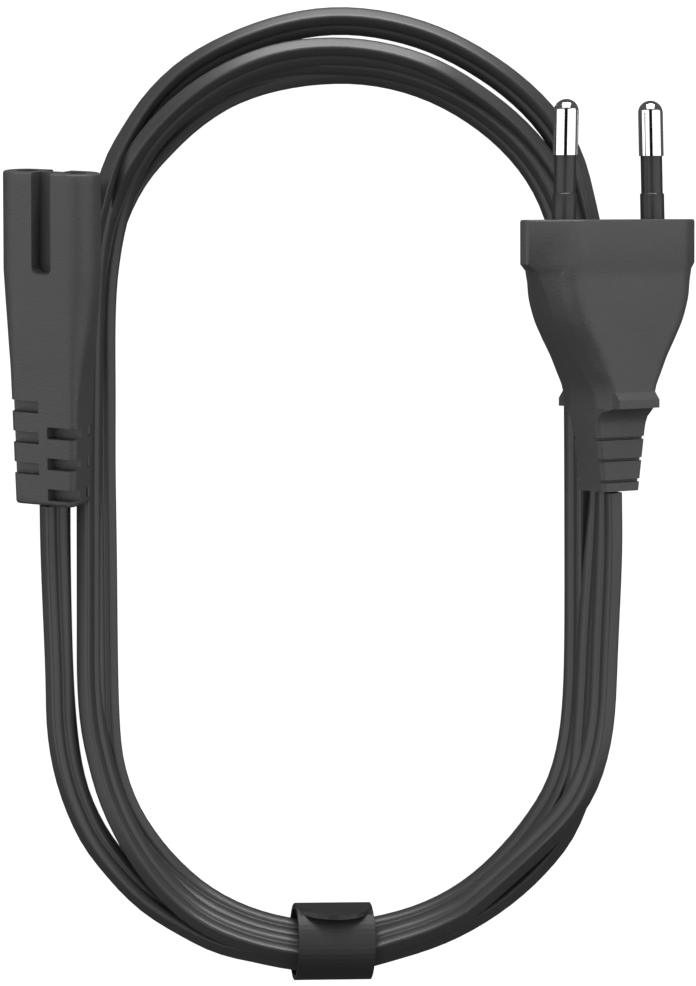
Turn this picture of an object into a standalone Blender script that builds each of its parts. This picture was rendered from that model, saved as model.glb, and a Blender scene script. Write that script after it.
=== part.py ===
# Flat twin power cord: figure-8 connector, two-pin plug, coiled flex and cable strap.
# It lies on a level floor. +X runs from the connector to the plug, +Y towards the plug's pins
# and +Z is up. The origin is under the middle of the box round connector, plug and strap.

import math

import bmesh
import bpy
from mathutils import Euler, Matrix, Vector

MM = 0.001
GAP = 0.3 * MM                    # running gap that every two pieces keep

# Flex
FLEX_WIDTH = 4.0 * MM
FLEX_THICKNESS = 2.6 * MM
FLEX_GROOVE = 0.35 * MM           # depth of the groove between the two cores, each wide face
LEAD_STEP = 8.0 * MM              # spacing of the leads' points

# Coil: a stadium whose inner edge has this end radius and half straight length
COIL_CENTRE = Vector((-1.3, -2.0, 0.0)) * MM
COIL_INNER_RADIUS = 36.6 * MM
COIL_HALF_STRAIGHT = 32.1 * MM
COIL_SECTIONS = 60
COIL_CORNER_SHARE = 0.38         # corner radius as a share of the bundle's smaller side
# The bundle of turns, anticlockwise from the plug's side: angle in degrees, then how far it
# reaches in from the inner edge, its width, its inner and outer heights, and its lift, in mm
COIL_BUNDLE = (
    (0, 0.0, 7.0, 7.0, 5.4, 0.0),
    (4, 0.0, 6.9, 5.8, 2.5, 0.0),
    (12, 0.0, 7.2, 5.6, 2.3, 0.0),
    (20, 0.0, 8.3, 5.0, 2.6, 0.0),
    (29, 0.0, 9.8, 4.9, 4.3, 0.0),
    (40, 0.0, 10.8, 4.9, 4.9, 0.0),
    (60, 0.0, 11.4, 4.9, 4.9, 0.0),
    (90, 0.0, 12.7, 4.9, 4.9, 0.0),
    (120, 0.0, 11.0, 5.2, 5.2, 0.0),
    (145, 0.0, 8.6, 6.6, 5.4, 0.0),
    (160, 0.0, 7.4, 7.2, 5.2, 0.0),
    (171, 0.0, 6.8, 6.2, 4.7, 0.0),
    (182, 0.0, 6.5, 5.4, 4.3, 0.0),
    (215, 0.0, 6.3, 5.6, 5.0, 0.0),
    (228, 0.0, 6.3, 6.6, 6.4, 0.0),
    (240, 0.1, 7.2, 7.6, 7.4, 1.1),
    (254, 0.7, 6.8, 6.8, 6.8, 3.2),
    (282, 0.7, 6.8, 6.8, 6.8, 3.2),
    (296, 0.2, 7.4, 7.8, 7.6, 1.2),
    (310, 0.0, 7.4, 6.8, 6.6, 0.0),
    (318, 0.0, 7.0, 6.4, 6.2, 0.0),
    (345, 0.0, 7.2, 6.8, 6.6, 0.0),
)

# Figure-8 connector, measured from its mating face down its length
CONNECTOR_OUTSET = 9.3 * MM       # its axis beyond the coil's inner edge
CONNECTOR_AHEAD = 22.3 * MM       # its mating face beyond the coil's straight sides
CONNECTOR_RISE = 12.0 * MM
CONNECTOR_ROLL = math.radians(-22.0)
CONNECTOR_PITCH = math.radians(5.4)
CONNECTOR_YAW = math.radians(-0.63)
CONNECTOR_LENGTH = 53.6 * MM
CONNECTOR_BODY = 16.0 * MM        # straight part before the taper
CONNECTOR_HALF_WIDTH = 8.2 * MM
CONNECTOR_HALF_THICK = 3.92 * MM
CONNECTOR_EDGE = 0.3 * MM         # rounding of the mating face's rim
CONNECTOR_TIP = 0.5 * MM
CONNECTOR_CORE = 3.6 * MM         # half thickness that the relief's notches are cut down from
CONNECTOR_RELIEF_START = 36.6 * MM
# Taper from the body to the relief, then the relief: share of the length, then half width,
# half thickness and corner radius as shares of the body's half width and half thickness
CONNECTOR_TAPER = (
    (0.0, 1.0, 1.0, 0.98),
    (0.2, 0.96, 1.0, 0.94),
    (0.4, 0.90, 0.995, 0.82),
    (0.58, 0.84, 0.985, 0.66),
    (0.73, 0.785, 0.97, 0.51),
    (1.0, 0.725, 0.945, 0.33),
)
CONNECTOR_RELIEF = (
    (0.0, 0.725, 0.945, 0.33),
    (0.5, 0.69, 0.89, 0.29),
    (1.0, 0.652, 0.84, 0.255),
)
SOCKET_PITCH = 8.6 * MM
SOCKET_RADIUS = 1.73 * MM
SOCKET_DEPTH = 15.0 * MM
KEY_WIDTH = 3.4 * MM
KEY_DEPTH = 3.2 * MM
KEY_LENGTH = 16.1 * MM
KEY_CORNER = 1.0 * MM
CONTACT_RADIUS = SOCKET_RADIUS - GAP
CONTACT_WALL = 0.3 * MM
CONTACT_LENGTH = 11.0 * MM
CONNECTOR_NOTCH = 1.95 * MM       # height of one notch
CONNECTOR_NOTCH_PITCH = 5.05 * MM
CONNECTOR_SPINE = 0.75 * MM       # half width of the solid strip between the two columns
CONNECTOR_SHALLOW = 1.6 * MM
CONNECTOR_DEEP = 2.4 * MM

# Two-pin plug, measured from its engagement face down its length
PLUG_OUTSET = 6.3 * MM            # its axis beyond the coil's inner edge
PLUG_AHEAD = 14.7 * MM            # its face beyond the coil's straight sides
PLUG_RISE = 11.8 * MM
PLUG_ROLL = math.radians(35.1)
PLUG_PITCH = math.radians(-0.6)   # about its own wide axis
PLUG_HALF_WIDTH = 17.3 * MM       # to the ridge of each side
PLUG_HALF_THICK = 6.85 * MM
PLUG_HEAD = 7.0 * MM
PLUG_NECK = 30.0 * MM
PLUG_LENGTH = 43.3 * MM
PLUG_EDGE = 0.35 * MM             # rounding of the face's rim
PLUG_BODY_HALF_THICK = 6.6 * MM
# Head, then the body from under the head to the neck: share of the length; half width of the
# wide face and at the ridge, as shares of the plug's half width; then half thickness, half
# height of the ridge, corner radius and ridge radius, as shares of its half thickness
PLUG_RIM = (0.63, 0.977, 0.956, 0.11, 0.45, 0.10)
PLUG_FACE = (0.64, 1.0, 1.0, 0.124, 0.5, 0.13)
PLUG_BODY = (
    (0.05, 0.71, 0.885, 0.949, 0.131, 0.61, 0.13),
    (0.20, 0.71, 0.81, 0.964, 0.146, 0.64, 0.13),
    (0.37, 0.66, 0.745, 0.964, 0.16, 0.60, 0.146),
    (0.50, 0.566, 0.653, 0.964, 0.204, 0.52, 0.175),
    (0.63, 0.457, 0.543, 0.964, 0.263, 0.44, 0.204),
    (0.76, 0.347, 0.44, 0.964, 0.336, 0.32, 0.234),
    (0.85, 0.277, 0.358, 0.964, 0.423, 0.25, 0.234),
    (0.935, 0.243, 0.312, 0.964, 0.496, 0.175, 0.234),
    (1.0, 0.235, 0.303, 0.964, 0.496, 0.16, 0.20),
)
# Step from the neck to the relief, and the relief: share of the length, then half width and
# half thickness as shares of the relief's
PLUG_RELIEF = (
    (0.03, 1.04, 1.45),
    (0.08, 1.04, 1.2),
    (0.15, 1.03, 1.06),
    (0.23, 1.0, 1.0),
    (1.0, 0.72, 1.0),
)
RELIEF_CORNER = 0.5 * MM
STOP_RAISE = 1.1 * MM             # how far each thumb stop stands out of the neck
STOP_HALF_WIDTH = 4.1 * MM
STOP_BAND = 1.3 * MM
STOP_BEVEL = 1.6 * MM
STOP_SILL = 0.1 * MM              # from the neck's end up to the stop
RELIEF_TOP_HALF_WIDTH = 5.05 * MM
RELIEF_HALF_THICK = 3.5 * MM
PLUG_SLOT = 0.5 * MM
PLUG_SLOT_DEPTH = 1.0 * MM
PLUG_SLOT_FIRST = 34.6 * MM
PLUG_SLOT_PITCH = 3.4 * MM
PIN_PITCH = 18.2 * MM
PIN_LENGTH = 19.0 * MM
PIN_RADIUS = 2.0 * MM
PIN_SHANK_RADIUS = 1.1 * MM
PIN_ROOT = 8.0 * MM               # length of the shank inside the plug
PIN_LEAN = math.radians(1.5)      # each pin leans in towards the other
SLEEVE_LENGTH = 9.85 * MM
SLEEVE_FOOT = 4.1 * MM
SLEEVE_FOOT_RADIUS = 1.95 * MM
SLEEVE_RADIUS = 1.75 * MM
SLEEVE_ROOT = 1.8 * MM            # length of the sleeve inside the plug

# Cable strap: a band round the bundle, with its outer end standing up as a tongue
STRAP_WIDTH = 12.5 * MM
STRAP_THICK = 0.75 * MM
STRAP_HALF_ACROSS = 6.25 * MM
STRAP_HALF_HEIGHT = 6.1 * MM
STRAP_SIDE = -1.3 * MM            # its middle from the coil's middle
STRAP_OUTSET = 2.38 * MM          # its middle beyond the coil's inner edge
STRAP_RISE = 6.98 * MM
STRAP_TILT = math.radians(8.5)    # the loop leans towards the plug's side
STRAP_TURN = math.radians(-1.2)
STRAP_STEPS = 48
TONGUE_LENGTH = 6.4 * MM
TONGUE_LEAN = math.radians(5.0)   # over the band

# Hand-chosen route of each free end of the flex, from where it leaves its moulding: angle
# round the coil in degrees, outset from the coil's inner edge and height, in mm
LEAD_STRAIGHT = 5.0 * MM          # length that each lead runs on along its moulding's axis
CONNECTOR_LEAD = (
    (184.0, 9.5, 5.3),
    (188.0, 9.5, 4.4),
    (194.0, 9.7, 3.6),
    (202.0, 9.6, 3.1),
    (210.0, 9.6, 2.8),
    (218.0, 9.3, 2.6),
)
PLUG_LEAD = (
    (356.0, 6.5, 11.5),
    (352.0, 6.5, 10.0),
    (346.0, 6.3, 9.6),
    (338.0, 5.8, 9.5),
    (330.0, 4.9, 9.5),
    (322.0, 4.5, 9.3),
    (316.0, 4.4, 9.2),
)

BLACK_MOULDING = (0.062, 0.062, 0.064)
BLACK_FLEX = (0.045, 0.045, 0.047)
BLACK_STRAP = (0.014, 0.014, 0.015)
NICKEL = (0.80, 0.80, 0.80)


def clear_scene():
    for old in list(bpy.data.objects):
        bpy.data.objects.remove(old, do_unlink=True)


def finish_material(name, colour, roughness, metallic=0.0):
    material = bpy.data.materials.new(name)
    material.use_nodes = True
    shader = material.node_tree.nodes["Principled BSDF"]
    shader.inputs["Base Color"].default_value = (*colour, 1.0)
    shader.inputs["Roughness"].default_value = roughness
    shader.inputs["Metallic"].default_value = metallic
    return material


def rounded_outline(corners, radii, steps=3):
    """Closed outline whose corners become arcs of steps + 1 points."""
    points = []
    count = len(corners)
    for index, corner in enumerate(corners):
        here = Vector(corner)
        back = (Vector(corners[index - 1]) - here)
        ahead = (Vector(corners[(index + 1) % count]) - here)
        half_turn = back.angle(ahead) / 2.0
        reach = radii[index] / math.tan(half_turn)
        reach = min(reach, 0.48 * back.length, 0.48 * ahead.length)
        radius = reach * math.tan(half_turn)
        middle = here + (back.normalized() + ahead.normalized()).normalized() * (radius / math.sin(half_turn))
        start = here + back.normalized() * reach - middle
        end = here + ahead.normalized() * reach - middle
        sweep = start.angle(end)
        for step in range(steps + 1):
            share = step / steps
            arm = start * math.sin((1.0 - share) * sweep) + end * math.sin(share * sweep)
            points.append(middle + arm / math.sin(sweep))
    return points


def add_object(name, mesh, material=None):
    thing = bpy.data.objects.new(name, mesh)
    bpy.context.scene.collection.objects.link(thing)
    if material:
        mesh.materials.append(material)
    return thing


def loft(name, rings, material=None, closed=False):
    """Solid through rings of equal point counts: capped at both ends, or closed on itself."""
    model = bmesh.new()
    rows = [[model.verts.new(point) for point in ring] for ring in rings]
    pairs = list(zip(rows, rows[1:]))
    if closed:
        pairs.append((rows[-1], rows[0]))
    for one, two in pairs:
        for index in range(len(one)):
            after = (index + 1) % len(one)
            model.faces.new((one[index], one[after], two[after], two[index]))
    if not closed:
        model.faces.new(list(reversed(rows[0])))
        model.faces.new(rows[-1])
    bmesh.ops.recalc_face_normals(model, faces=model.faces[:])
    mesh = bpy.data.meshes.new(name)
    model.to_mesh(mesh)
    model.free()
    mesh.shade_smooth()
    mesh.set_sharp_from_angle(angle=math.radians(35.0))
    return add_object(name, mesh, material)


def turned(name, profile, material=None, sides=24, bore=None):
    """Solid of revolution about local Y from (radius, y) pairs; bore makes it a tube."""
    rings = [
        [
            Vector((radius * math.cos(2.0 * math.pi * side / sides), y,
                    radius * math.sin(2.0 * math.pi * side / sides)))
            for side in range(sides)
        ]
        for radius, y in profile
    ]
    return loft(name, rings, material, closed=bore is not None)


def box(name, low, high):
    corners = [(low[0], low[2]), (high[0], low[2]), (high[0], high[2]), (low[0], high[2])]
    rings = [[Vector((x, y, z)) for x, z in corners] for y in (low[1], high[1])]
    return loft(name, rings)


def boolean(target, tool, operation):
    change = target.modifiers.new(tool.name, "BOOLEAN")
    change.operation = operation
    change.object = tool
    change.solver = "EXACT"
    tool.hide_render = True
    tool.display_type = "WIRE"
    tool.parent = target.parent
    tool.hide_set(True)


def coil_place(side, outset, ahead, rise):
    """Place beside the coil: outset from its inner edge, ahead of its straight sides."""
    return COIL_CENTRE + Vector((side * (COIL_INNER_RADIUS + outset), COIL_HALF_STRAIGHT + ahead, rise))


def frame_empty(name, place, order, turn):
    """Parent that carries one sub-assembly; turn is its rotation about X, Y and Z."""
    carrier = bpy.data.objects.new(name, None)
    bpy.context.scene.collection.objects.link(carrier)
    carrier.location = place
    carrier.rotation_mode = order
    carrier.rotation_euler = Euler(turn, order)
    return carrier


def section_ring(corners, radii, y, steps=3):
    return [Vector((point.x, y, point.y)) for point in rounded_outline(corners, radii, steps)]


def blend(table, at):
    """Values of a (position, value, value...) table at one position, eased between its rows."""
    for low, high in zip(table, table[1:]):
        if low[0] <= at <= high[0]:
            share = (at - low[0]) / (high[0] - low[0])
            return [a + (b - a) * share for a, b in zip(low[1:], high[1:])]
    return list(table[-1][1:])


def connector_section(depth):
    """Rounded rectangle of the connector at a depth below its mating face."""
    if depth <= CONNECTOR_RELIEF_START:
        taper = max(0.0, depth - CONNECTOR_BODY) / (CONNECTOR_RELIEF_START - CONNECTOR_BODY)
        shares = blend(CONNECTOR_TAPER, taper)
    else:
        along = depth - CONNECTOR_RELIEF_START
        shares = blend(CONNECTOR_RELIEF, along / (CONNECTOR_LENGTH - CONNECTOR_RELIEF_START))
    trim = 0.0
    if depth == 0.0:
        trim = CONNECTOR_EDGE
    elif depth == CONNECTOR_LENGTH:
        trim = CONNECTOR_TIP
    half_width = CONNECTOR_HALF_WIDTH * shares[0] - trim
    half_thick = CONNECTOR_HALF_THICK * shares[1] - trim
    corner = CONNECTOR_HALF_THICK * shares[2] - trim
    corners = [
        (half_width, half_thick),
        (-half_width, half_thick),
        (-half_width, -half_thick),
        (half_width, -half_thick),
    ]
    return section_ring(corners, [corner] * 4, -depth, 6)


def build_connector(moulding, metal):
    carrier = frame_empty(
        "connector_axis",
        coil_place(-1.0, CONNECTOR_OUTSET, CONNECTOR_AHEAD, CONNECTOR_RISE),
        "YXZ",
        (CONNECTOR_PITCH, CONNECTOR_ROLL, CONNECTOR_YAW),
    )
    taper = CONNECTOR_RELIEF_START - CONNECTOR_BODY
    relief = CONNECTOR_LENGTH - CONNECTOR_RELIEF_START
    depths = [0.0, CONNECTOR_EDGE]
    depths += [CONNECTOR_BODY + taper * row[0] for row in CONNECTOR_TAPER]
    depths += [CONNECTOR_RELIEF_START + relief * row[0] for row in CONNECTOR_RELIEF[1:-1]]
    depths += [CONNECTOR_LENGTH - CONNECTOR_TIP, CONNECTOR_LENGTH]
    body = loft("c7_connector", [connector_section(depth) for depth in depths], moulding)
    body.parent = carrier
    for side, label in ((-1, "left"), (1, "right")):
        bore = turned(
            "socket_" + label,
            [(SOCKET_RADIUS, -SOCKET_DEPTH), (SOCKET_RADIUS, 1.0 * MM)],
        )
        bore.location.x = side * SOCKET_PITCH / 2.0
        boolean(body, bore, "DIFFERENCE")
        inner = CONTACT_RADIUS - CONTACT_WALL
        bottom = -SOCKET_DEPTH + GAP
        top = bottom + CONTACT_LENGTH
        contact = turned(
            "contact_" + label,
            [(CONTACT_RADIUS, bottom), (CONTACT_RADIUS, top), (inner, top), (inner, bottom)],
            metal,
            bore=inner,
        )
        contact.location.x = side * SOCKET_PITCH / 2.0
        contact.parent = carrier
    for face, label in ((1, "front"), (-1, "back")):
        key = key_slot("key_" + label, face)
        boolean(body, key, "DIFFERENCE")
    for number in range(3):
        for column, depth_in, first in (
            ("left", CONNECTOR_SHALLOW, CONNECTOR_RELIEF_START),
            ("right", CONNECTOR_DEEP, CONNECTOR_RELIEF_START + CONNECTOR_NOTCH_PITCH * 0.81),
        ):
            top = -(first + number * CONNECTOR_NOTCH_PITCH)
            for face, label in ((1, "front"), (-1, "back")):
                boolean(body, relief_notch(column, label, number, top, depth_in, face), "DIFFERENCE")
    return body


def key_slot(name, face):
    """Keying groove of one wide face, open at the mating end and round-cornered at the other."""
    half = KEY_WIDTH / 2.0
    steps = 4
    outline = [(half, 1.0 * MM)]
    for side, first in ((1.0, 0.0), (-1.0, math.pi / 2.0)):
        for step in range(steps + 1):
            angle = first + math.pi / 2.0 * step / steps
            outline.append((
                side * (half - KEY_CORNER) + KEY_CORNER * math.cos(angle),
                -(KEY_LENGTH - KEY_CORNER) - KEY_CORNER * math.sin(angle),
            ))
    outline.append((-half, 1.0 * MM))
    near = face * (CONNECTOR_HALF_THICK - KEY_DEPTH)
    far = face * (CONNECTOR_HALF_THICK + 2.0 * MM)
    rings = [[Vector((x, y, z)) for x, y in outline] for z in (near, far)]
    return loft(name, rings)


def relief_notch(column, label, number, top, depth_in, face):
    side = -1.0 if column == "left" else 1.0
    xs = sorted((side * CONNECTOR_SPINE, side * CONNECTOR_HALF_WIDTH))
    zs = sorted((face * (CONNECTOR_CORE - depth_in), face * 1.5 * CONNECTOR_HALF_THICK))
    name = "notch_{}_{}_{}".format(column, label, number + 1)
    return box(name, (xs[0], top - CONNECTOR_NOTCH, zs[0]), (xs[1], top, zs[1]))


def plug_section(depth, face_half, tip_half, thick_half, tip_flat, corner, tip_corner):
    """Eight-cornered plug outline: two wide faces, and a ridged side at each end."""
    corners = [
        (face_half, thick_half),
        (-face_half, thick_half),
        (-tip_half, tip_flat),
        (-tip_half, -tip_flat),
        (-face_half, -thick_half),
        (face_half, -thick_half),
        (tip_half, -tip_flat),
        (tip_half, tip_flat),
    ]
    radii = [corner, corner, tip_corner, tip_corner, corner, corner, tip_corner, tip_corner]
    return section_ring(corners, radii, -depth, 3)


def plug_ring(depth, shares):
    face, ridge, thick, flat, corner, ridge_corner = shares
    return plug_section(
        depth,
        PLUG_HALF_WIDTH * face,
        PLUG_HALF_WIDTH * ridge,
        PLUG_HALF_THICK * thick,
        PLUG_HALF_THICK * flat,
        PLUG_HALF_THICK * corner,
        PLUG_HALF_THICK * ridge_corner,
    )


def relief_ring(depth, width_share, thick_share):
    half_width = RELIEF_TOP_HALF_WIDTH * width_share
    half_thick = RELIEF_HALF_THICK * thick_share
    return plug_section(
        depth,
        half_width - RELIEF_CORNER,
        half_width,
        half_thick,
        half_thick - RELIEF_CORNER,
        RELIEF_CORNER,
        RELIEF_CORNER,
    )


def build_plug(moulding, metal, insulation):
    carrier = frame_empty(
        "plug_axis",
        coil_place(1.0, PLUG_OUTSET, PLUG_AHEAD, PLUG_RISE),
        "XYZ",
        (PLUG_PITCH, PLUG_ROLL, 0.0),
    )
    rings = [plug_ring(0.0, PLUG_RIM), plug_ring(PLUG_EDGE, PLUG_FACE), plug_ring(PLUG_HEAD, PLUG_FACE)]
    for row in PLUG_BODY:
        rings.append(plug_ring(PLUG_HEAD + (PLUG_NECK - PLUG_HEAD) * row[0], row[1:]))
    for row in PLUG_RELIEF:
        rings.append(relief_ring(PLUG_NECK + (PLUG_LENGTH - PLUG_NECK) * row[0], *row[1:]))
    body = loft("plug_body", rings, moulding)
    body.parent = carrier
    for face, label in ((1, "front"), (-1, "back")):
        boolean(body, thumb_stop(label, face), "UNION")
    for number in range(3):
        top = -(PLUG_SLOT_FIRST + number * PLUG_SLOT_PITCH)
        for face, label in ((1, "front"), (-1, "back")):
            zs = sorted((face * (RELIEF_HALF_THICK - PLUG_SLOT_DEPTH), face * PLUG_HALF_THICK))
            slot = box(
                "slot_{}_{}".format(label, number + 1),
                (-2.0 * RELIEF_TOP_HALF_WIDTH, top - PLUG_SLOT, zs[0]),
                (2.0 * RELIEF_TOP_HALF_WIDTH, top, zs[1]),
            )
            boolean(body, slot, "DIFFERENCE")
    for side, label in ((-1, "left"), (1, "right")):
        build_pin(carrier, body, side, label, metal, insulation)
    return body


def thumb_stop(label, face):
    """Ledge across one wide face at the neck, bevelled towards the head."""
    inside = face * RELIEF_HALF_THICK
    flush = face * (PLUG_BODY_HALF_THICK - GAP)
    proud = face * (PLUG_BODY_HALF_THICK + STOP_RAISE)
    foot = -(PLUG_NECK - STOP_SILL)
    shoulder = foot + STOP_BAND
    top = shoulder + STOP_BEVEL
    outline = [(top, inside), (top, flush), (shoulder, proud), (foot, proud), (foot, inside)]
    rings = [[Vector((x, y, z)) for y, z in outline] for x in (-STOP_HALF_WIDTH, STOP_HALF_WIDTH)]
    return loft("thumb_stop_" + label, rings)


def build_pin(carrier, body, side, label, metal, insulation):
    """Round pin with its insulating sleeve, both set in a socket of the plug."""
    place = Vector((side * PIN_PITCH / 2.0, 0.0, 0.0))
    lean = side * PIN_LEAN
    tip = PIN_LENGTH
    dome = PIN_RADIUS
    profile = [(PIN_SHANK_RADIUS, -PIN_ROOT), (PIN_SHANK_RADIUS, SLEEVE_LENGTH + GAP)]
    profile += [(PIN_RADIUS, SLEEVE_LENGTH + GAP), (PIN_RADIUS, tip - dome)]
    for step in range(1, 8):
        angle = math.radians(12.0 * step)
        profile.append((PIN_RADIUS * math.cos(angle), tip - dome + dome * math.sin(angle)))
    pin = turned("pin_" + label, profile, metal)
    bore = PIN_SHANK_RADIUS + GAP
    sleeve = turned(
        "pin_sleeve_" + label,
        [
            (SLEEVE_FOOT_RADIUS, -SLEEVE_ROOT),
            (SLEEVE_FOOT_RADIUS, SLEEVE_FOOT),
            (SLEEVE_RADIUS, SLEEVE_FOOT + 0.2 * MM),
            (SLEEVE_RADIUS, SLEEVE_LENGTH),
            (bore, SLEEVE_LENGTH),
            (bore, -SLEEVE_ROOT),
        ],
        insulation,
        bore=bore,
    )
    socket = turned(
        "pin_socket_" + label,
        [
            (bore, -PIN_ROOT - GAP),
            (bore, -SLEEVE_ROOT - GAP),
            (SLEEVE_FOOT_RADIUS + GAP, -SLEEVE_ROOT - GAP),
            (SLEEVE_FOOT_RADIUS + GAP, 1.5 * MM),
        ],
    )
    for thing in (pin, sleeve, socket):
        thing.location = place
        thing.rotation_euler = (0.0, 0.0, lean)
    boolean(body, socket, "DIFFERENCE")
    pin.parent = carrier
    sleeve.parent = carrier


def coil_point(turn, outward):
    """Point of the stadium that lies outward of the coil's inner edge, at an angle in degrees."""
    angle = math.radians(turn)
    radius = COIL_INNER_RADIUS + outward
    climb = math.tanh(5.0 * math.sin(angle)) * COIL_HALF_STRAIGHT
    return COIL_CENTRE + Vector((radius * math.cos(angle), radius * math.sin(angle) + climb, 0.0))


def ease(share):
    return share * share * (3.0 - 2.0 * share)


def bundle_size(turn):
    """The bundle's row of COIL_BUNDLE at an angle, eased between its measured places."""
    table = COIL_BUNDLE + ((COIL_BUNDLE[0][0] + 360, *COIL_BUNDLE[0][1:]),)
    for low, high in zip(table, table[1:]):
        if low[0] <= turn <= high[0]:
            share = ease((turn - low[0]) / (high[0] - low[0]))
            return [(a + (b - a) * share) * MM for a, b in zip(low[1:], high[1:])]
    raise ValueError("turn outside 0 to 360 degrees")


def build_coil(material):
    """Outer shape of the turns of the flex, as one closed ring."""
    rings = []
    for index in range(COIL_SECTIONS):
        turn = 360.0 * index / COIL_SECTIONS
        reach_in, width, inner_height, outer_height, lift = bundle_size(turn)
        inner = coil_point(turn, -reach_in)
        outer = coil_point(turn, width - reach_in)
        corners = [(0.0, 0.0), (width, 0.0), (width, outer_height), (0.0, inner_height)]
        corner = COIL_CORNER_SHARE * min(width, outer_height)
        ring = []
        for spot in rounded_outline(corners, [corner] * 4, 3):
            place = inner.lerp(outer, spot.x / width)
            ring.append(place + Vector((0.0, 0.0, spot.y + lift)))
        rings.append(ring)
    return loft("flex_coil", rings, material, closed=True)


def lead_points(carrier, length, rows):
    """Chosen points of a lead: on along its moulding's axis, then round the coil."""
    turn = carrier.rotation_euler.to_matrix()
    points = [
        carrier.location + turn @ Vector((0.0, -length - reach, 0.0))
        for reach in (GAP, LEAD_STRAIGHT)
    ]
    for angle, outset, height in rows:
        points.append(coil_point(angle, outset * MM) + Vector((0.0, 0.0, height * MM)))
    return points


def smooth_route(chosen):
    """Evenly spaced points of a Catmull-Rom curve through the chosen ones."""
    chosen = [chosen[0] * 2.0 - chosen[1]] + chosen + [chosen[-1] * 2.0 - chosen[-2]]
    fine = []
    for a, b, c, d in zip(chosen, chosen[1:], chosen[2:], chosen[3:]):
        for step in range(20):
            t = step / 20.0
            fine.append(0.5 * (2.0 * b + (c - a) * t + (2.0 * a - 5.0 * b + 4.0 * c - d) * t * t
                               + (3.0 * b - a - 3.0 * c + d) * t * t * t))
    fine.append(chosen[-2])
    lengths = [0.0]
    for one, two in zip(fine, fine[1:]):
        lengths.append(lengths[-1] + (two - one).length)
    count = max(4, round(lengths[-1] / LEAD_STEP))
    even = []
    index = 0
    for step in range(count + 1):
        target = lengths[-1] * step / count
        while index < len(fine) - 2 and lengths[index + 1] < target:
            index += 1
        share = (target - lengths[index]) / (lengths[index + 1] - lengths[index])
        even.append(fine[index].lerp(fine[index + 1], share))
    return even


def flex_profile():
    """Flat twin section: two cores side by side, with a shallow groove between them."""
    half_width = FLEX_WIDTH / 2.0
    half_thick = FLEX_THICKNESS / 2.0
    waist = half_thick - FLEX_GROOVE
    corners = [
        (half_width, -half_thick),
        (half_width, half_thick),
        (half_width * 0.35, half_thick),
        (0.0, waist),
        (-half_width * 0.35, half_thick),
        (-half_width, half_thick),
        (-half_width, -half_thick),
        (-half_width * 0.35, -half_thick),
        (0.0, -waist),
        (half_width * 0.35, -half_thick),
    ]
    data = bpy.data.curves.new("flex_profile", "CURVE")
    data.dimensions = "2D"
    spline = data.splines.new("POLY")
    spline.points.add(len(corners) - 1)
    for point, (x, y) in zip(spline.points, reversed(corners)):
        point.co = (x, y, 0.0, 1.0)
    spline.use_cyclic_u = True
    profile = bpy.data.objects.new("flex_profile", data)
    bpy.context.scene.collection.objects.link(profile)
    profile.hide_render = True
    profile.display_type = "WIRE"
    profile.hide_set(True)
    return profile


def build_lead(name, route, profile, tilts, material):
    """Free end of the flex along its route, leaning from the first tilt to the last, in degrees."""
    points = smooth_route(route)
    data = bpy.data.curves.new(name, "CURVE")
    data.dimensions = "3D"
    data.twist_mode = "Z_UP"
    data.bevel_mode = "OBJECT"
    data.bevel_object = profile
    data.use_fill_caps = True
    data.render_resolution_u = 0
    spline = data.splines.new("POLY")
    spline.points.add(len(points) - 1)
    for index, (point, place) in enumerate(zip(spline.points, points)):
        share = ease(index / (len(points) - 1))
        point.co = (*place, 1.0)
        point.tilt = math.radians(tilts[0] + (tilts[1] - tilts[0]) * share)
    data.materials.append(material)
    lead = bpy.data.objects.new(name, data)
    bpy.context.scene.collection.objects.link(lead)
    return lead


def build_strap(material):
    """Band round the bundle; its outer end leaves the inner side and stands up, round-ended."""
    across = STRAP_HALF_ACROSS
    height = STRAP_HALF_HEIGHT
    thick = STRAP_THICK
    steps = STRAP_STEPS
    outer = []
    inner = []
    for step in range(steps):
        angle = 2.0 * math.pi * step / steps
        outer.append((across * math.cos(angle), height * math.sin(angle)))
        inner.append(((across - thick) * math.cos(angle), (height - thick) * math.sin(angle)))
    half = STRAP_WIDTH / 2.0
    rings = [
        [Vector((-half, y, z)) for y, z in outer],
        [Vector((half, y, z)) for y, z in outer],
        [Vector((half, y, z)) for y, z in inner],
        [Vector((-half, y, z)) for y, z in inner],
    ]
    band = loft("cable_strap", rings, material, closed=True)
    tongue_outline = [(-half, -1.0 * MM), (half, -1.0 * MM)]
    for step in range(13):
        angle = math.pi * step / 12.0
        tongue_outline.append((half * math.cos(angle), TONGUE_LENGTH - half + half * math.sin(angle)))
    face = across - 0.1 * thick
    lean = math.tan(TONGUE_LEAN)
    tongue_rings = [
        [Vector((x, y - z * lean, z)) for x, z in tongue_outline] for y in (face - thick, face)
    ]
    tongue = loft("strap_tongue", tongue_rings)
    reach = COIL_HALF_STRAIGHT + COIL_INNER_RADIUS + STRAP_OUTSET
    carrier = frame_empty(
        "strap_axis",
        COIL_CENTRE + Vector((STRAP_SIDE, -reach, STRAP_RISE)),
        "XYZ",
        (0.0, STRAP_TILT, STRAP_TURN),
    )
    band.parent = carrier
    boolean(band, tongue, "UNION")
    return band


def centre(roots):
    """Moves every root so that the box round connector, plug and strap stands on the origin."""
    bpy.context.view_layer.update()
    spots = [
        thing.matrix_world @ vertex.co
        for thing in bpy.data.objects
        if thing.type == "MESH" and not thing.hide_render and thing.parent
        for vertex in thing.data.vertices
    ]
    low = Vector([min(spot[axis] for spot in spots) for axis in (0, 1)])
    high = Vector([max(spot[axis] for spot in spots) for axis in (0, 1)])
    middle = ((low + high) / 2.0).to_3d()
    for root in roots:
        root.location -= middle


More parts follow.
